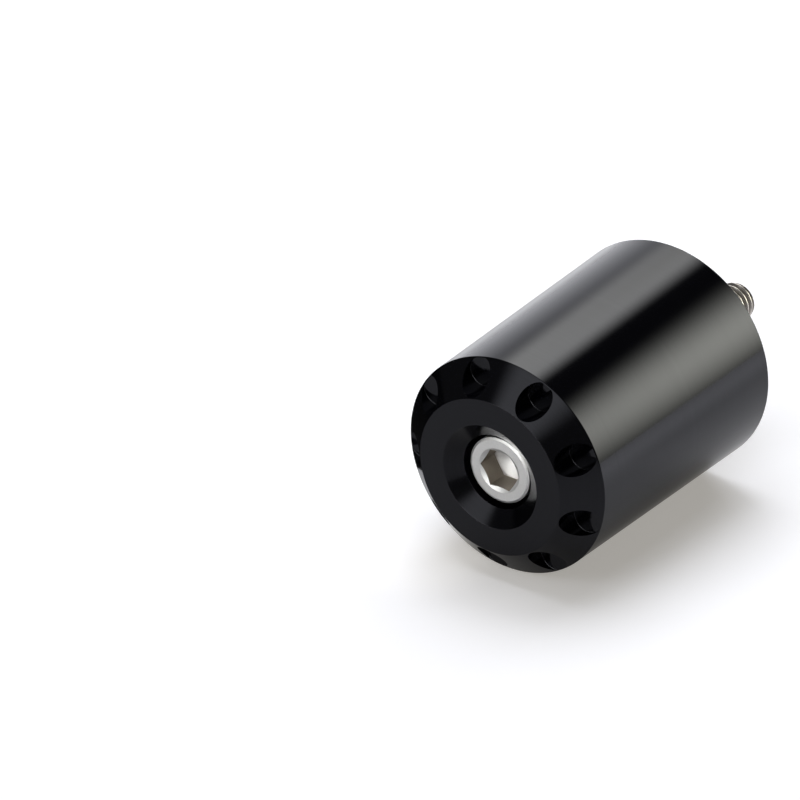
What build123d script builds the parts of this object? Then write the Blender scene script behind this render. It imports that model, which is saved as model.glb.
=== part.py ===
from build123d import *
import os
from math import cos, radians, sin, tan

# A bar end weight: a turned black weight with a ring of blind pockets in its outer chamfer, and the socket
# head cap screw that fixes it to the end of a handlebar tube.
# Millimetres. The origin is the centre of the rear face, which seats on the end of the handlebar.
# The axis lies along Y: the outer face looks towards -Y, the screw's thread comes out towards +Y, +Z is up.

# Weight: outer form, from the rear face (y = 0) to the outer face (y = -weight_length)
rear_diameter = 35.0
rim_diameter = 33.3
face_diameter = 24.0
weight_length = 44.3
chamfer_length = 4.1
edge_break = 0.15

# Dish around the screw's head, in the outer face
dish_diameter = 16.0
dish_depth = 1.85

# Ring of blind pockets, drilled along the axis into the chamfer
pocket_count = 9
pocket_diameter = 4.6
pocket_circle_diameter = 28.8
pocket_depth = 4.0
first_pocket_angle = 25.3

# Screw: M6 x 55 socket head cap screw
thread_diameter = 6.0
screw_length = 55.0
thread_length = 19.0
thread_end_chamfer = 0.6
shank_diameter = 5.35
head_diameter = 10.1
head_height = 6.0
head_edge_chamfer = 0.35
head_under_fillet = 0.3

# Hexagon socket of the screw
socket_across_flats = 5.7
socket_depth = 3.6
socket_mouth_diameter = 6.9
socket_mouth_angle = 60.0
socket_angle = 0.0

# Fits between the screw and the weight
head_clearance = 0.7
thread_clearance = 0.3
head_recess = 2.3

# Sizes that follow from the values above
rear_radius = rear_diameter / 2
rim_radius = rim_diameter / 2
face_radius = face_diameter / 2
rim_y = -(weight_length - chamfer_length)
face_y = -weight_length
dish_floor_y = face_y + dish_depth
head_top_y = face_y + head_recess
seat_y = head_top_y + head_height
screw_tip_y = seat_y + screw_length
thread_start_y = screw_tip_y - thread_length
counterbore_radius = head_diameter / 2 + head_clearance
bore_radius = thread_diameter / 2 + thread_clearance
pocket_floor_y = face_y + pocket_depth


def turned(outline, axis=Axis.Y):
    """Solid of revolution of a closed outline of (radius, y) points."""
    return revolve(make_face(Polyline(*outline, close=True)), axis)


def along_axis(x, z, y):
    """Plane whose normal is the outward direction -Y, at the given place."""
    return Plane(origin=(x, y, z), x_dir=(1, 0, 0), z_dir=(0, -1, 0))


def circular_edges(solid, radius, y):
    """Full circles about the Y axis with this radius, at this place along it."""
    found = solid.edges().filter_by(GeomType.CIRCLE)
    return [e for e in found if abs(e.radius - radius) < 1e-4 and abs(e.arc_center.Y - y) < 1e-4]


def make_blank():
    """The turned form: cone, chamfer, outer face, dish, counterbore and through bore."""
    outline = [
        (bore_radius, 0),
        (rear_radius, 0),
        (rim_radius, rim_y),
        (face_radius, face_y),
        (dish_diameter / 2, face_y),
        (counterbore_radius, dish_floor_y),
        (counterbore_radius, seat_y),
        (bore_radius, seat_y),
    ]
    blank = turned(outline)
    corners = circular_edges(blank, rear_radius, 0) + circular_edges(blank, rim_radius, rim_y)
    return fillet(corners, edge_break)


def make_pocket(index):
    """Cutter for one blind pocket, from its flat floor to clear of the outer face."""
    angle = radians(first_pocket_angle + index * 360 / pocket_count)
    reach = pocket_circle_diameter / 2
    base = along_axis(reach * cos(angle), reach * sin(angle), pocket_floor_y)
    return extrude(base * Circle(pocket_diameter / 2), 2 * pocket_depth)


def make_weight():
    weight = make_blank()
    for index in range(pocket_count):
        weight -= make_pocket(index)
    return weight


def make_socket():
    """Cutter for the hexagon socket, with its conical mouth."""
    base = along_axis(0, 0, head_top_y + socket_depth)
    hexagon = RegularPolygon(socket_across_flats / 2, 6, major_radius=False, rotation=socket_angle)
    prism = extrude(base * hexagon, 2 * socket_depth)
    mouth_radius = socket_mouth_diameter / 2
    mouth_depth = mouth_radius / tan(radians(socket_mouth_angle))
    mouth = turned([(0, head_top_y), (mouth_radius, head_top_y), (0, head_top_y + mouth_depth)])
    return prism + mouth


def make_screw():
    head_radius = head_diameter / 2
    shank_radius = shank_diameter / 2
    thread_radius = thread_diameter / 2
    outline = [
        (0, head_top_y),
        (head_radius - head_edge_chamfer, head_top_y),
        (head_radius, head_top_y + head_edge_chamfer),
        (head_radius, seat_y),
        (shank_radius + head_under_fillet, seat_y),
        (shank_radius, seat_y + head_under_fillet),
        (shank_radius, thread_start_y),
        (thread_radius, thread_start_y),
        (thread_radius, screw_tip_y - thread_end_chamfer),
        (thread_radius - thread_end_chamfer, screw_tip_y),
        (0, screw_tip_y),
    ]
    return turned(outline) - make_socket()


def main():
    os.makedirs("parts", exist_ok=True)
    export_step(make_weight(), "parts/weight_body.step")
    export_step(make_screw(), "parts/socket_cap_screw.step")


main()
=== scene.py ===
from math import cos, pi, radians, sin, tan
import bmesh
import bpy
from mathutils import Matrix, Vector


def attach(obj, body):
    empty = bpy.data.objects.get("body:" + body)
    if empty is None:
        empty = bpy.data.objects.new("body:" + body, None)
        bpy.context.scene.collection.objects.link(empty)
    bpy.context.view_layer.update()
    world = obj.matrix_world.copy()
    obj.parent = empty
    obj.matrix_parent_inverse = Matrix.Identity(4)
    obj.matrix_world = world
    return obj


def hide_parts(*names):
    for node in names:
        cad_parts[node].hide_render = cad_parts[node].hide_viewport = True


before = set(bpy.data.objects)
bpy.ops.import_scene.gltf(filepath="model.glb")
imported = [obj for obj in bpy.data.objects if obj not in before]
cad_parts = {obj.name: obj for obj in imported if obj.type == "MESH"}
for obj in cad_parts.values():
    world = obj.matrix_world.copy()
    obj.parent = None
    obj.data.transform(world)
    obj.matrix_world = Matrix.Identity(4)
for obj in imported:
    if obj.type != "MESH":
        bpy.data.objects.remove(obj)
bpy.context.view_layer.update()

# A bar end weight with its screw, lying on a pale table. The axis lies along Y, the outer face looks
# towards -Y and +Z is up. Camera, studio and table are in metres. The weight and the screw are made in
# millimetres, and their meshes are scaled once.
millimetre = 0.001

# Camera: where it stands, seen from the point in the middle of its picture
look_at = Vector((-0.02113, -0.03665, 0.00191))
camera_azimuth = radians(36.903)
camera_elevation = radians(29.761)
camera_distance = 0.7311
focal_length_mm = 231.4
film_width_mm = 36.0
nearest_seen = 0.01
furthest_seen = 50.0

# Soft boxes: glowing sheets round the object, seen in reflections. Each has the direction that it stands
# in, its distance, half its size as an angle, the share of each half that fades out towards the edge, its
# brightness, where 1 is white, and its tint. A direction is azimuth and elevation in degrees: azimuth 0
# is in front, at -Y, and 90 is at +X.
object_middle = Vector((0.0, -0.022, 0.0))
soft_boxes = {
    "side_box": dict(at=(139.7, 17.3), distance=0.42, half=(23.3, 28.6),
                     fade=(1.0, 1.0), level=4.35, tint=(1.0, 1.0, 0.87)),
    "back_box": dict(at=(-155.0, 48.6), distance=0.45, half=(18.8, 28.1),
                     fade=(0.68, 1.0), level=2.8, tint=(1.0, 1.0, 0.95)),
    "back_sweep": dict(at=(-136.2, -2.7), distance=0.60, half=(21.3, 48.6),
                       fade=(0.45, 1.0), level=1.23, tint=(0.98, 0.99, 1.04)),
    "front_low_box": dict(at=(-10.0, -4.0), distance=0.45, half=(30.0, 24.0),
                          fade=(0.6, 0.6), level=5.8, tint=(1.0, 0.99, 0.97)),
    "front_box": dict(at=(-1.0, 45.0), distance=0.50, half=(30.0, 28.0),
                      fade=(0.6, 0.6), level=0.85, tint=(0.98, 0.99, 1.0)),
}

# Black card that leans away on the left of the object: its foot and its top along X, and its reach in
# Y and Z
card_foot = -0.028
card_top = -0.046
card_reach_y = (-0.060, -0.018)
card_reach_z = (-0.0175, 0.012)
card_level = 0.01

# Square lamps, which light the table and set the shadow: direction, side and power
lamps = {
    "left_lamp": dict(at=(-112.0, 73.0), size=0.54, watts=2.6),
    "back_lamp": dict(at=(-167.0, 55.6), size=0.58, watts=2.29),
    "front_lamp": dict(at=(-24.0, 37.8), size=0.54, watts=1.04),
}
lamp_distance = 0.7
lamp_tint = (0.974, 1.0, 1.09)

# Brightness of the dim room round the studio, in front and at the back, and where it turns from one to
# the other
room_levels = (0.08, 0.03)
room_turn = (-0.6, 0.2)

# Table: the plane that the side of the cone lies on, with its far right corner cut off. Its own glow is
# what its deepest shadow shows, and the lamps add the rest.
table_size = 0.8
table_corner_cut = 0.31
table_glow = (0.353, 0.339, 0.314)
table_albedo = 0.85

# Painted light: a patch of the table, left of the foot of the face, where the glow is stronger and
# lightens the shadow there: its middle, its reach and the share that it adds
painted_light_middle = (-0.011, -0.046, -0.0165)
painted_light_reach = (0.003, 0.013)
painted_light_share = 0.33

# How bright a reflection shows the table, as a share of its brightness to the camera, and between which
# two places that share comes in or goes: along Y for the front, the rear and the start of the left back,
# and along X for the others. The front's edge runs askew, by this much of Y for each step in X.
front_share = 0.31
front_edge = (-0.041, -0.030)
front_skew = 0.35
left_share = 0.42
left_edge = (-0.0155, -0.0125)
left_back_shares = (1.11, 0.66)
left_back_edge = (-0.11, -0.05)
left_back_start = (-0.015, 0.005)
right_share = 0.43
right_edge = (-0.015, 0.008)
right_far_edge = (0.012, 0.105)
rear_share = 0.66
rear_edge = (-0.018, 0.008)

# Weight: turned form
rear_radius = 17.5
rim_radius = 16.65
face_radius = 12.0
weight_length = 44.3
chamfer_length = 4.1
dish_radius = 8.0
dish_depth = 1.85
counterbore_radius = 5.75
bore_radius = 3.3
bore_edge = 0.2
outer_edge = 0.15
face_edge = 0.03
face_y = -weight_length
rim_y = -(weight_length - chamfer_length)
side_slope = (rear_radius - rim_radius) / (weight_length - chamfer_length)

# Weight: ring of blind pockets
pocket_count = 9
pocket_radius = 2.3
pocket_circle_radius = 14.4
pocket_floor_y = -40.3
pocket_corner = 0.08
pocket_reach = 6.0
first_pocket_angle = 25.3

# Screw: head
head_radius = 5.05
head_height = 6.0
head_top_y = -42.0
seat_y = head_top_y + head_height
head_edge_width = 0.35
head_edge_height = 0.20
head_under_edge = 0.2

# Screw: straight knurl round the head
knurl_count = 60
knurl_depth = 0.13
knurl_from_y = head_top_y + 1.0
knurl_to_y = seat_y - 0.7
knurl_run_out = 0.15

# Screw: hexagon socket with a conical mouth and a shallow drilled point
socket_half_flats = 2.85
socket_depth = 3.45
socket_mouth_radius = 3.45
socket_mouth_slope = 0.577
socket_point_depth = 0.7
socket_point_radius = socket_half_flats - 0.02
socket_point_support = 0.15
socket_point_reach = 0.5
hexagon_reach = 2.0
mouth_reach = 1.0

# Screw: shank and thread
shank_radius = 2.675
shank_root = 0.3
shank_overlap = 0.5
thread_radius = 3.0
thread_pitch = 1.0
thread_depth = 0.54
thread_start_y = 0.0
thread_run_in = 0.3
thread_phase = 0.06
crest_share = 0.22
root_share = 0.14
tip_chamfer = 0.4
screw_tip_y = 19.0

# Fineness of the meshes
body_segments = 360
screw_segments = 240
pocket_segments = 96
rings_per_pitch = 12
edge_steps = 4
pocket_corner_steps = 5
longest_plain_stretch = 1.0
support_width = 0.04
sharp_angle = 24.0

# Black anodised layer: colours, tint of its sheen, roughness and specular level, each over its own range.
# The dish is a little coarser and duller. The spacing of the turning marks and the depth of the relief
# are in millimetres.
anodised_colours = ((0.0004, 0.0004, 0.0008), (0.0009, 0.0009, 0.0018))
anodised_sheen = (0.97, 0.98, 1.08)
anodised_ior = 1.5
anodised_roughness = (0.085, 0.115)
anodised_level = (0.47, 0.53)
dish_coarser = 0.05
dish_duller = 0.06
mark_spacing = 0.12
mark_share = 0.5
anodised_grain = dict(scale=5.0, detail=2.0)
anodised_relief = 0.002

# Stainless steel: the colours of the head, of the walls of its socket, which painted shade darkens
# and browns, and of the thread from groove to crest, with painted shade in the groove. The shank is a
# little smoother, and has less relief.
head_colours = ((0.84, 0.84, 0.83), (0.96, 0.96, 0.95))
socket_wall_shade_colour = (0.4, 0.355, 0.3)
# Thread colours: painted shade in the groove, then the colour of the crest
thread_shade_colours = ((0.12, 0.105, 0.085), (0.78, 0.735, 0.69))
thread_crest_width = 0.06
steel_roughness = (0.42, 0.54)
shank_smoother = 0.1
steel_grain = dict(scale=3.5, detail=3.0)
steel_relief = 0.01
shank_relief_share = 0.25

# Ranges over which a value goes from one end to the other: of a noise, and of how far the surface faces
# along Y. The changes of finish are in millimetres, and the tip's are counted back from its end.
grain_range = (0.25, 0.75)
marks_range = (0.2, 0.8)
wall_facing = (-0.6, -0.3)
finish_change = 0.1
shank_change = 0.5
tip_change = (0.3, 0.05)


def add_object(name, data):
    """New object in the scene with this mesh, lamp or camera."""
    thing = bpy.data.objects.new(name, data)
    bpy.context.scene.collection.objects.link(thing)
    return thing


def add_mesh(name, vertices, faces):
    """New object with a mesh of these vertices and faces."""
    mesh = bpy.data.meshes.new(name)
    mesh.from_pydata(vertices, [], faces)
    return add_object(name, mesh)


def delete_objects(objects):
    """Deletes the objects and their meshes."""
    for thing in objects:
        mesh = thing.data
        bpy.data.objects.remove(thing)
        bpy.data.meshes.remove(mesh)


def new_material(name):
    """Empty node material. Returns it with its node tree and its output node."""
    material = bpy.data.materials.new(name)
    material.use_nodes = True
    tree = material.node_tree
    tree.nodes.clear()
    return material, tree, tree.nodes.new("ShaderNodeOutputMaterial")


def add_math(tree, operation, a, b=None, clamp=False):
    """Math node; a and b are numbers or sockets. Returns its output."""
    node = tree.nodes.new("ShaderNodeMath")
    node.operation = operation
    node.use_clamp = clamp
    for socket, value in zip(node.inputs, (a, b)):
        if value is None:
            continue
        if isinstance(value, (int, float)):
            socket.default_value = value
        else:
            tree.links.new(value, socket)
    return node.outputs[0]


def add_ramp(tree, value, edges, results):
    """Smooth change from the first result at the first edge to the second at the second."""
    node = tree.nodes.new("ShaderNodeMapRange")
    node.interpolation_type = "SMOOTHSTEP"
    tree.links.new(value, node.inputs["Value"])
    node.inputs["From Min"].default_value, node.inputs["From Max"].default_value = edges
    node.inputs["To Min"].default_value, node.inputs["To Max"].default_value = results
    return node.outputs["Result"]


def add_mix(tree, share, first, second):
    """Colour that goes from the first to the second as the share goes from 0 to 1."""
    node = tree.nodes.new("ShaderNodeMix")
    node.data_type = "RGBA"
    tree.links.new(share, node.inputs["Factor"])
    # Inputs 6 and 7 are the two colours of this node, and output 2 is the mixed colour
    for socket, value in ((node.inputs[6], first), (node.inputs[7], second)):
        if isinstance(value, tuple):
            socket.default_value = (*value, 1)
        else:
            tree.links.new(value, socket)
    return node.outputs[2]


def add_split(tree, vector):
    """The X, Y and Z of a vector, as outputs by name."""
    node = tree.nodes.new("ShaderNodeSeparateXYZ")
    tree.links.new(vector, node.inputs[0])
    return node.outputs


def add_sum(tree, first, second, output):
    """Adds two shaders and links the sum to the material's output."""
    both = tree.nodes.new("ShaderNodeAddShader")
    tree.links.new(first.outputs[0], both.inputs[0])
    tree.links.new(second.outputs[0], both.inputs[1])
    tree.links.new(both.outputs[0], output.inputs["Surface"])


def direction(azimuth, elevation):
    """Unit vector from the object towards this azimuth and elevation, in degrees."""
    a, e = radians(azimuth), radians(elevation)
    return Vector((cos(e) * sin(a), -cos(e) * cos(a), sin(e)))


def facing_object(at, distance):
    """Placing of something flat that stands in this direction and faces the object along its own -Z."""
    away = direction(*at)
    right = direction(at[0] + 90, 0)
    turn = Matrix((right, away.cross(right), away)).transposed().to_4x4()
    return Matrix.Translation(object_middle + away * distance) @ turn


def add_camera():
    """The camera, held level with the table."""
    data = bpy.data.cameras.new("photo_camera")
    data.lens = focal_length_mm
    data.sensor_width = film_width_mm
    data.clip_start = nearest_seen
    data.clip_end = furthest_seen
    camera = add_object("photo_camera", data)
    up_from_table = Vector((0.0, side_slope, 1.0)).normalized()
    back = Vector((cos(camera_elevation) * sin(camera_azimuth),
                   -cos(camera_elevation) * cos(camera_azimuth),
                   sin(camera_elevation)))
    right = up_from_table.cross(back).normalized()
    turn = Matrix((right, back.cross(right), back)).transposed().to_4x4()
    camera.matrix_world = Matrix.Translation(look_at + back * camera_distance) @ turn
    bpy.context.scene.camera = camera


def add_fade(tree, place, fade):
    """1 in the middle of a side, where place is 0.5, and 0 at its ends, over this share of each half."""
    off_middle = add_math(tree, "ABSOLUTE", add_math(tree, "SUBTRACT", place, 0.5))
    return add_ramp(tree, off_middle, (0.5 * (1 - fade), 0.5), (1.0, 0.0))


def soft_box_material(name, fade, level, tint):
    """A clear sheet that glows in its middle."""
    material, tree, output = new_material(name)
    place = add_split(tree, tree.nodes.new("ShaderNodeTexCoord").outputs["Generated"])
    across = add_fade(tree, place["X"], fade[0])
    along = add_fade(tree, place["Y"], fade[1])
    glow = tree.nodes.new("ShaderNodeEmission")
    glow.inputs["Color"].default_value = (*tint, 1)
    strength = add_math(tree, "MULTIPLY", add_math(tree, "MULTIPLY", across, along), level)
    tree.links.new(strength, glow.inputs["Strength"])
    add_sum(tree, glow, tree.nodes.new("ShaderNodeBsdfTransparent"), output)
    return material


def add_soft_box(name, at, distance, half, fade, level, tint):
    """A glowing sheet, seen in reflections but not by the camera."""
    x, y = (distance * tan(radians(size)) for size in half)
    box = add_mesh(name, [(-x, -y, 0), (x, -y, 0), (x, y, 0), (-x, y, 0)], [(0, 1, 2, 3)])
    box.data.materials.append(soft_box_material(name, fade, level, tint))
    box.matrix_world = facing_object(at, distance)
    box.visible_camera = False
    box.visible_diffuse = False


def dark_card_material():
    """A nearly black surface that no lamp changes."""
    material, tree, output = new_material("dark_card")
    glow = tree.nodes.new("ShaderNodeEmission")
    glow.inputs["Strength"].default_value = card_level
    tree.links.new(glow.outputs[0], output.inputs["Surface"])
    return material


def add_dark_card():
    """A black card that stands on the left of the object, seen in reflections only."""
    (front, rear), (bottom, top) = card_reach_y, card_reach_z
    corners = [(card_foot, front, bottom), (card_foot, rear, bottom),
               (card_top, rear, top), (card_top, front, top)]
    card = add_mesh("dark_card", corners, [(0, 1, 2, 3)])
    card.data.materials.append(dark_card_material())
    card.visible_camera = False
    card.visible_diffuse = False
    card.visible_shadow = False
    card.visible_transmission = False


def add_lamp(name, at, size, watts):
    """A square lamp that looks at the object and isn't seen in it."""
    data = bpy.data.lights.new(name, "AREA")
    data.size = size
    data.energy = watts
    data.color = lamp_tint
    lamp = add_object(name, data)
    lamp.matrix_world = facing_object(at, lamp_distance)
    lamp.visible_camera = False
    lamp.visible_glossy = False


def add_world():
    """White to the camera, and a dim room to the object."""
    world = bpy.data.worlds.new("studio")
    world.use_nodes = True
    tree = world.node_tree
    tree.nodes.clear()
    place = add_split(tree, tree.nodes.new("ShaderNodeTexCoord").outputs["Generated"])
    room = tree.nodes.new("ShaderNodeBackground")
    tree.links.new(add_ramp(tree, place["Y"], room_turn, room_levels), room.inputs["Strength"])
    white = tree.nodes.new("ShaderNodeBackground")
    white.inputs["Color"].default_value = (1, 1, 1, 1)
    path = tree.nodes.new("ShaderNodeLightPath").outputs
    seen = add_math(tree, "MAXIMUM", path["Is Camera Ray"], path["Is Transmission Ray"])
    mix = tree.nodes.new("ShaderNodeMixShader")
    tree.links.new(seen, mix.inputs[0])
    tree.links.new(room.outputs[0], mix.inputs[1])
    tree.links.new(white.outputs[0], mix.inputs[2])
    output = tree.nodes.new("ShaderNodeOutputWorld")
    tree.links.new(mix.outputs[0], output.inputs["Surface"])
    bpy.context.scene.world = world


def add_table_share(tree, place, reflected):
    """Share of its brightness that the table shows: 1 to the camera, and other shares in reflections."""
    skewed = add_math(tree, "SUBTRACT", place["Y"], add_math(tree, "MULTIPLY", place["X"], front_skew))
    front = add_ramp(tree, skewed, front_edge, (front_share, 1.0))
    left_near = add_ramp(tree, place["X"], left_edge, (left_share, 1.0))
    left_back = add_math(tree, "MULTIPLY", add_ramp(tree, place["Y"], left_back_start, (0.0, 1.0)),
                         add_ramp(tree, place["X"], left_back_edge, left_back_shares))
    left = add_math(tree, "MAXIMUM", left_near, left_back)
    right_near = add_ramp(tree, place["X"], right_edge, (1.0, right_share))
    right_far = add_ramp(tree, place["X"], right_far_edge, (right_share, 1.0))
    rear = add_ramp(tree, place["Y"], rear_edge, (right_share, rear_share))
    right = add_math(tree, "MAXIMUM", add_math(tree, "MAXIMUM", right_near, right_far), rear)
    dullest = add_math(tree, "MINIMUM", add_math(tree, "MINIMUM", front, left), right)
    above_white = add_math(tree, "SUBTRACT", left, 1.0, clamp=True)
    share = add_math(tree, "ADD", dullest, above_white)
    missing = add_math(tree, "MULTIPLY", add_math(tree, "SUBTRACT", 1.0, share), reflected)
    return add_math(tree, "SUBTRACT", 1.0, missing)


def add_painted_light(tree, position):
    """Factor of the table's glow: more than 1 in the patch of painted light that lightens the shadow,
    and 1 elsewhere.
    """
    distance = tree.nodes.new("ShaderNodeVectorMath")
    distance.operation = "DISTANCE"
    tree.links.new(position, distance.inputs[0])
    distance.inputs[1].default_value = painted_light_middle
    return add_ramp(tree, distance.outputs["Value"], painted_light_reach, (1 + painted_light_share, 1.0))


def table_material():
    """White to the camera where no shadow falls."""
    material, tree, output = new_material("table_white")
    path = tree.nodes.new("ShaderNodeLightPath").outputs
    position = tree.nodes.new("ShaderNodeNewGeometry").outputs["Position"]
    share = add_table_share(tree, add_split(tree, position), path["Is Glossy Ray"])
    grey = tree.nodes.new("ShaderNodeVectorMath")
    grey.operation = "SCALE"
    grey.inputs[0].default_value = (table_albedo, table_albedo, table_albedo)
    tree.links.new(share, grey.inputs["Scale"])
    diffuse = tree.nodes.new("ShaderNodeBsdfDiffuse")
    tree.links.new(grey.outputs[0], diffuse.inputs["Color"])
    seen = add_math(tree, "MAXIMUM", path["Is Camera Ray"], path["Is Transmission Ray"])
    seen = add_math(tree, "MAXIMUM", seen, path["Is Glossy Ray"])
    # The table's glow, stronger in the patch of painted light left of the face's foot
    strength = add_math(tree, "MULTIPLY", add_math(tree, "MULTIPLY", seen, share),
                        add_painted_light(tree, position))
    glow = tree.nodes.new("ShaderNodeEmission")
    glow.inputs["Color"].default_value = (*table_glow, 1)
    tree.links.new(strength, glow.inputs["Strength"])
    add_sum(tree, diffuse, glow, output)
    return material


def add_table():
    """The pale table that the side of the cone lies on."""
    half = table_size / 2
    cut_off = half - table_corner_cut
    outline = [(-half, -half), (half, -half), (half, cut_off), (cut_off, half), (-half, half)]
    corners = [(x, y, -rear_radius * millimetre - side_slope * y) for x, y in outline]
    table = add_mesh("table", corners, [tuple(range(len(corners)))])
    table.data.materials.append(table_material())


def lathe_rings(profile, segments, radius_at):
    """Vertices of a turned form about Y, and for each point of its profile the numbers of its ring."""
    vertices, rings = [], []
    for radius, y in profile:
        if radius == 0:
            rings.append([len(vertices)] * segments)
            vertices.append((0.0, y, 0.0))
            continue
        rings.append(list(range(len(vertices), len(vertices) + segments)))
        for step in range(segments):
            angle = 2 * pi * step / segments
            r = radius_at(radius, y, angle) if radius_at else radius
            vertices.append((r * cos(angle), y, r * sin(angle)))
    return vertices, rings


def lathe_faces(rings, closed):
    """Faces between each ring and the next. A face that meets the axis has three corners."""
    faces = []
    following = rings[1:] + rings[:1] if closed else rings[1:]
    for first, second in zip(rings, following):
        for i in range(len(first)):
            j = (i + 1) % len(first)
            corners = [first[i], first[j], second[j], second[i]]
            face = [c for k, c in enumerate(corners) if c != corners[k - 1]]
            if len(face) > 2:
                faces.append(face)
    return faces


def lathe_object(name, profile, segments, closed=False, radius_at=None):
    """A turned form about Y. profile is a list of (radius, y) from end to end. A radius of 0 closes an end,
    and closed joins the last ring to the first. radius_at(radius, y, angle) may change a radius round the
    turn."""
    vertices, rings = lathe_rings(profile, segments, radius_at)
    piece = add_mesh(name, vertices, lathe_faces(rings, closed))
    piece.data.update()
    turn_outward(piece.data)
    return piece


def turn_outward(mesh):
    """Turns all the faces of a closed mesh outward."""
    work = bmesh.new()
    work.from_mesh(mesh)
    bmesh.ops.recalc_face_normals(work, faces=work.faces)
    work.to_mesh(mesh)
    work.free()


def rounded(points, radii):
    """The closed outline with its corners rounded; a radius of 0 keeps a corner sharp."""
    outline = []
    for i, radius in enumerate(radii):
        corner, before, after = (Vector(points[k % len(points)]) for k in (i, i - 1, i + 1))
        if radius == 0:
            outline.append(tuple(corner))
            continue
        u, v = (before - corner).normalized(), (after - corner).normalized()
        half = u.angle(v) / 2
        reach = radius / tan(half)
        centre = corner + (u + v).normalized() * radius / sin(half)
        start, end = corner + u * reach - centre, corner + v * reach - centre
        turn = start.angle(end)
        for step in range(edge_steps + 1):
            t = step / edge_steps
            point = centre + (start * sin((1 - t) * turn) + end * sin(t * turn)) / sin(turn)
            outline.append(tuple(point))
    return outline


def with_supports(outline):
    """Splits long stretches near their ends, so that the shading stays true up to the small edges."""
    result = []
    for i, point in enumerate(outline):
        a, b = Vector(point), Vector(outline[(i + 1) % len(outline)])
        result.append(tuple(a))
        if (b - a).length > longest_plain_stretch:
            step = (b - a).normalized() * support_width
            result += [tuple(a + step), tuple(b - step)]
    return result


def cut(target, cutters, name):
    """Takes the cutters away from the target and gives the result as a new object."""
    group = bpy.data.collections.new("cutters")
    for cutter in cutters:
        bpy.context.scene.collection.objects.unlink(cutter)
        group.objects.link(cutter)
    modifier = target.modifiers.new("cut", "BOOLEAN")
    modifier.operation = "DIFFERENCE"
    modifier.operand_type = "COLLECTION"
    modifier.collection = group
    modifier.solver = "EXACT"
    graph = bpy.context.evaluated_depsgraph_get()
    mesh = bpy.data.meshes.new_from_object(target.evaluated_get(graph))
    mesh.name = name
    delete_objects([*cutters, target])
    bpy.data.collections.remove(group)
    return add_object(name, mesh)


def joined(pieces, name):
    """One object with the meshes of all the pieces."""
    work = bmesh.new()
    for piece in pieces:
        work.from_mesh(piece.data)
    mesh = bpy.data.meshes.new(name)
    work.to_mesh(mesh)
    work.free()
    delete_objects(pieces)
    return add_object(name, mesh)


def finish_piece(piece, node, material):
    """Scales a piece to metres, shades it and puts it in the place of its CAD node."""
    mesh = piece.data
    mesh.transform(Matrix.Scale(millimetre, 4))
    mesh.shade_smooth()
    mesh.set_sharp_from_angle(angle=radians(sharp_angle))
    mesh.materials.clear()
    mesh.materials.append(material)
    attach(piece, "root")
    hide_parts(node)


def pocket_corner_points():
    """The small rounded corner between the floor of a pocket and its wall, as (radius, y)."""
    points = []
    for step in range(1, pocket_corner_steps + 1):
        a = radians(90 - 90 * step / pocket_corner_steps)
        points.append((pocket_radius - pocket_corner + pocket_corner * cos(a),
                       pocket_floor_y - pocket_corner + pocket_corner * sin(a)))
    return points


def make_pocket_cutter(index):
    """A round cutter from the floor of a pocket to clear of the outer face."""
    angle = radians(first_pocket_angle + index * 360 / pocket_count)
    profile = [(0, pocket_floor_y), (pocket_radius - pocket_corner, pocket_floor_y)]
    profile += pocket_corner_points()
    profile += [(pocket_radius, pocket_floor_y - pocket_reach), (0, pocket_floor_y - pocket_reach)]
    cutter = lathe_object(f"pocket_{index}", profile, pocket_segments)
    offset = Vector((pocket_circle_radius * cos(angle), 0, pocket_circle_radius * sin(angle)))
    cutter.data.transform(Matrix.Translation(offset))
    return cutter


def make_weight():
    """The turned weight: cone, chamfer, face ring, dish, counterbore and bore, less its pockets."""
    corners = [
        ((bore_radius, 0), bore_edge),
        ((rear_radius, 0), outer_edge),
        ((rim_radius, rim_y), outer_edge),
        ((face_radius, face_y), face_edge),
        ((dish_radius, face_y), face_edge),
        ((counterbore_radius, face_y + dish_depth), face_edge),
        ((counterbore_radius, seat_y), 0.0),
        ((bore_radius, seat_y), 0.0),
    ]
    outline = rounded([point for point, _ in corners], [radius for _, radius in corners])
    blank = lathe_object("blank", with_supports(outline), body_segments, closed=True)
    return cut(blank, [make_pocket_cutter(i) for i in range(pocket_count)], "turned_weight")


def thread_form(y, angle):
    """Radius of the thread: a flat crest, a narrow flat root and flanks at about 60 degrees to each other.
    Its first turn grows out of the shank."""
    turns = (y - thread_start_y) / thread_pitch
    wave = (turns - angle / (2 * pi) + thread_phase) % 1.0
    rise = abs(2 * wave - 1)
    height = min(max((rise - root_share) / (1 - root_share - crest_share), 0.0), 1.0)
    grown = min(max(turns, 0.0), 1.0)
    radius = thread_radius - thread_depth * (1 - height)
    return shank_radius + (radius - shank_radius) * grown


def screw_radius(radius, y, angle):
    """Radius of the screw round the turn: the thread, and the ridges on the side of the head."""
    if y >= thread_start_y:
        return min(radius, thread_form(y, angle))
    if knurl_from_y <= y <= knurl_to_y and radius == head_radius:
        wave = (angle / (2 * pi) * knurl_count) % 1.0
        return radius - knurl_depth * (1 - abs(2 * wave - 1))
    return radius


def make_hexagon_cutter():
    """The hexagon prism of the socket."""
    corner = socket_half_flats / cos(pi / 6)
    hexagon = [(corner * cos(i * pi / 3), corner * sin(i * pi / 3)) for i in range(6)]
    ends = (head_top_y - hexagon_reach, head_top_y + socket_depth)
    vertices = [(x, y, z) for y in ends for x, z in hexagon]
    faces = [tuple(range(6)), tuple(range(11, 5, -1))]
    faces += [(i, i + 6, (i + 1) % 6 + 6, (i + 1) % 6) for i in range(6)]
    prism = add_mesh("hexagon", vertices, faces)
    turn_outward(prism.data)
    return prism


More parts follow.
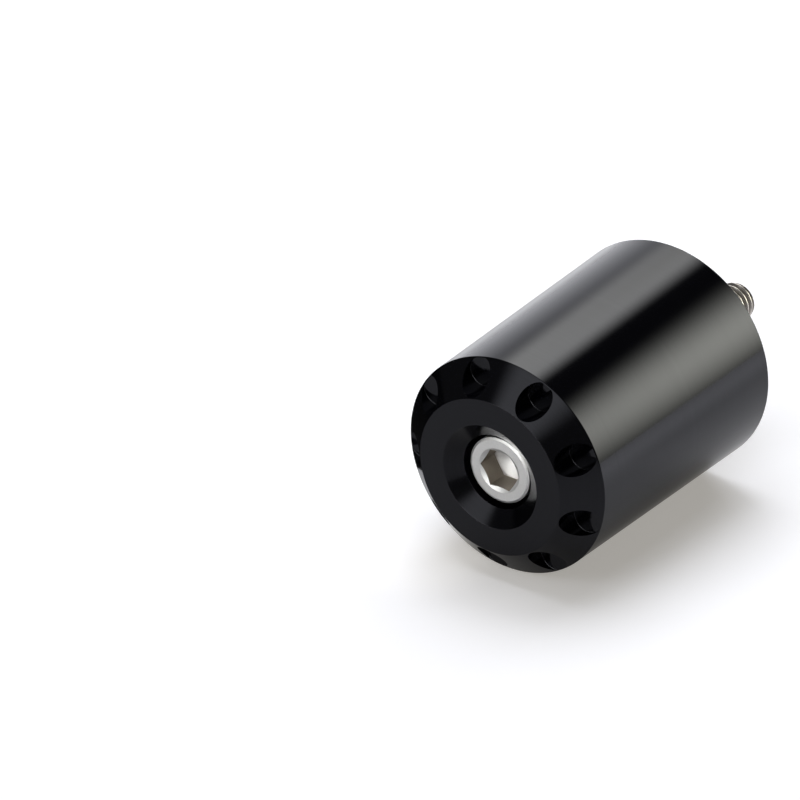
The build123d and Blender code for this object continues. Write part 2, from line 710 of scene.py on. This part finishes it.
def make_mouth_cutter():
    """The cone of the socket's mouth, with its wide end clear of the head."""
    profile = [
        (0, head_top_y + socket_mouth_radius * socket_mouth_slope),
        (socket_mouth_radius, head_top_y),
        (socket_mouth_radius + mouth_reach / socket_mouth_slope, head_top_y - mouth_reach),
        (0, head_top_y - mouth_reach),
    ]
    return lathe_object("mouth", profile, screw_segments)


def make_point_cutter():
    """The shallow cone of the drill at the socket's floor. Narrow bands at its rim and at its tip keep its
    shading true."""
    floor = head_top_y + socket_depth
    slope = socket_point_depth / socket_point_radius
    band = socket_point_support
    profile = [
        (0, floor - socket_point_reach),
        (socket_point_radius, floor - socket_point_reach),
        (socket_point_radius, floor),
        (socket_point_radius - band, floor + band * slope),
        (band, floor + socket_point_depth - band * slope),
        (0, floor + socket_point_depth),
    ]
    return lathe_object("point", profile, screw_segments)


def make_head():
    """The knurled head with its hexagon socket."""
    profile = [
        (0, head_top_y),
        (head_radius - head_edge_width, head_top_y),
        (head_radius, head_top_y + head_edge_height),
        (head_radius, knurl_from_y - knurl_run_out),
        (head_radius, knurl_from_y),
        (head_radius, knurl_to_y),
        (head_radius, knurl_to_y + knurl_run_out),
        (head_radius, seat_y - head_under_edge),
        (head_radius - head_under_edge, seat_y),
        (0, seat_y),
    ]
    blank = lathe_object("head_blank", profile, screw_segments, radius_at=screw_radius)
    return cut(blank, [make_hexagon_cutter(), make_mouth_cutter(), make_point_cutter()], "head")


def make_threaded_shank():
    """The shank, from inside the head to the chamfered tip of its thread."""
    profile = [
        (0, seat_y - shank_overlap),
        (shank_radius + shank_root, seat_y - shank_overlap),
        (shank_radius + shank_root, seat_y),
        (shank_radius, seat_y + shank_root),
        (shank_radius, thread_start_y - thread_run_in),
    ]
    thread_length = screw_tip_y - thread_start_y
    steps = round(thread_length / thread_pitch * rings_per_pitch)
    for step in range(steps + 1):
        y = thread_start_y + thread_length * step / steps
        profile.append((min(thread_radius, thread_radius - tip_chamfer + screw_tip_y - y), y))
    profile.append((0, screw_tip_y))
    return lathe_object("threaded_shank", profile, screw_segments, radius_at=screw_radius)


def make_screw():
    """The socket cap screw, from its knurled head to the tip of its thread."""
    return joined([make_head(), make_threaded_shank()], "knurled_cap_screw")


def add_turned_place(tree):
    """Place on a turned surface in millimetres: radius, distance along the axis, and the whole vector."""
    place = tree.nodes.new("ShaderNodeVectorMath")
    place.operation = "SCALE"
    tree.links.new(tree.nodes.new("ShaderNodeTexCoord").outputs["Object"], place.inputs[0])
    place.inputs["Scale"].default_value = 1 / millimetre
    split = add_split(tree, place.outputs[0])
    across = add_math(tree, "MULTIPLY", split["X"], split["X"])
    upward = add_math(tree, "MULTIPLY", split["Z"], split["Z"])
    radius = add_math(tree, "SQRT", add_math(tree, "ADD", across, upward))
    return radius, split["Y"], place.outputs[0]


def add_noise(tree, vector, scale, detail):
    """Noise of about 0 to 1 that varies with this vector."""
    node = tree.nodes.new("ShaderNodeTexNoise")
    tree.links.new(vector, node.inputs["Vector"])
    node.inputs["Scale"].default_value = scale
    node.inputs["Detail"].default_value = detail
    return node.outputs["Fac"]


def add_turning_marks(tree, radius, along):
    """Uneven fine rings round the axis, as a lathe tool leaves them, 0 to 1."""
    rings = tree.nodes.new("ShaderNodeCombineXYZ")
    tree.links.new(radius, rings.inputs["X"])
    tree.links.new(along, rings.inputs["Y"])
    return add_noise(tree, rings.outputs[0], scale=1 / mark_spacing, detail=1.0)


def add_bump(tree, height, depth, surface):
    """Bump of this depth in millimetres on the surface shader."""
    node = tree.nodes.new("ShaderNodeBump")
    node.inputs["Distance"].default_value = depth * millimetre
    tree.links.new(height, node.inputs["Height"])
    tree.links.new(node.outputs[0], surface.inputs["Normal"])


def black_anodised():
    """Smooth black anodised aluminium with fine turning marks and the grain of the anodised layer."""
    material, tree, output = new_material("black_anodised")
    radius, along, place = add_turned_place(tree)
    marks = add_turning_marks(tree, radius, along)
    grain = add_noise(tree, place, **anodised_grain)
    dish = (dish_radius - finish_change, dish_radius)
    roughness = add_math(tree, "ADD", add_ramp(tree, radius, dish, (dish_coarser, 0.0)),
                         add_ramp(tree, grain, grain_range, anodised_roughness))
    level = add_math(tree, "SUBTRACT", add_ramp(tree, marks, marks_range, anodised_level),
                     add_ramp(tree, radius, dish, (dish_duller, 0.0)))
    surface = tree.nodes.new("ShaderNodeBsdfPrincipled")
    surface.inputs["IOR"].default_value = anodised_ior
    surface.inputs["Specular Tint"].default_value = (*anodised_sheen, 1)
    tree.links.new(add_mix(tree, marks, *anodised_colours), surface.inputs["Base Color"])
    tree.links.new(roughness, surface.inputs["Roughness"])
    tree.links.new(level, surface.inputs["Specular IOR Level"])
    height = add_math(tree, "ADD", grain, add_math(tree, "MULTIPLY", marks, mark_share))
    add_bump(tree, height, anodised_relief, surface)
    tree.links.new(surface.outputs[0], output.inputs["Surface"])
    return material


def add_socket_wall_shade(tree, radius):
    """1 on the walls of the socket, which don't face forward and get painted shade, and 0 elsewhere on
    the head.
    """
    normal = add_split(tree, tree.nodes.new("ShaderNodeNewGeometry").outputs["Normal"])
    sideways = add_ramp(tree, normal["Y"], wall_facing, (0.0, 1.0))
    mouth_edge = (socket_mouth_radius - finish_change, socket_mouth_radius)
    inside = add_ramp(tree, radius, mouth_edge, (1.0, 0.0))
    return add_math(tree, "MULTIPLY", sideways, inside)


def add_thread_shade_mask(tree, radius, along):
    """1 on the crests of the thread and on the face of its tip, and 0 in its grooves, which painted
    shade darkens.
    """
    crest_edge = (thread_radius - thread_depth, thread_radius - thread_crest_width)
    tip_edge = tuple(screw_tip_y - before for before in tip_change)
    crest = add_ramp(tree, radius, crest_edge, (0.0, 1.0))
    return add_math(tree, "MAXIMUM", crest, add_ramp(tree, along, tip_edge, (0.0, 1.0)))


def stainless():
    """Cold-formed stainless steel: a pale, softly rough head, painted shade that darkens and browns
    the walls of its socket, and painted shade in the grooves of its thread."""
    material, tree, output = new_material("stainless")
    radius, along, place = add_turned_place(tree)
    grain = add_noise(tree, place, **steel_grain)
    head = add_mix(tree, grain, *head_colours)
    # Painted shade: the socket's walls, which face sideways, are darker and browner than the head
    head = add_mix(tree, add_socket_wall_shade(tree, radius), head, socket_wall_shade_colour)
    # Painted shade: the thread darkens from its crests down into its grooves
    thread = add_mix(tree, add_thread_shade_mask(tree, radius, along), *thread_shade_colours)
    shank_edge = (seat_y, seat_y + shank_change)
    shank = add_ramp(tree, along, shank_edge, (0.0, 1.0))
    roughness = add_math(tree, "SUBTRACT", add_ramp(tree, grain, grain_range, steel_roughness),
                         add_math(tree, "MULTIPLY", shank, shank_smoother))
    surface = tree.nodes.new("ShaderNodeBsdfPrincipled")
    surface.inputs["Metallic"].default_value = 1.0
    tree.links.new(add_mix(tree, shank, head, thread), surface.inputs["Base Color"])
    tree.links.new(roughness, surface.inputs["Roughness"])
    relief = add_ramp(tree, along, shank_edge, (1.0, shank_relief_share))
    add_bump(tree, add_math(tree, "MULTIPLY", grain, relief), steel_relief, surface)
    tree.links.new(surface.outputs[0], output.inputs["Surface"])
    return material


add_camera()
add_world()
add_table()
for box_name, box_values in soft_boxes.items():
    add_soft_box(box_name, **box_values)
add_dark_card()
for lamp_name, lamp_values in lamps.items():
    add_lamp(lamp_name, **lamp_values)
finish_piece(make_weight(), "weight_body", black_anodised())
finish_piece(make_screw(), "socket_cap_screw", stainless())
bpy.context.scene.view_settings.view_transform = "Standard"
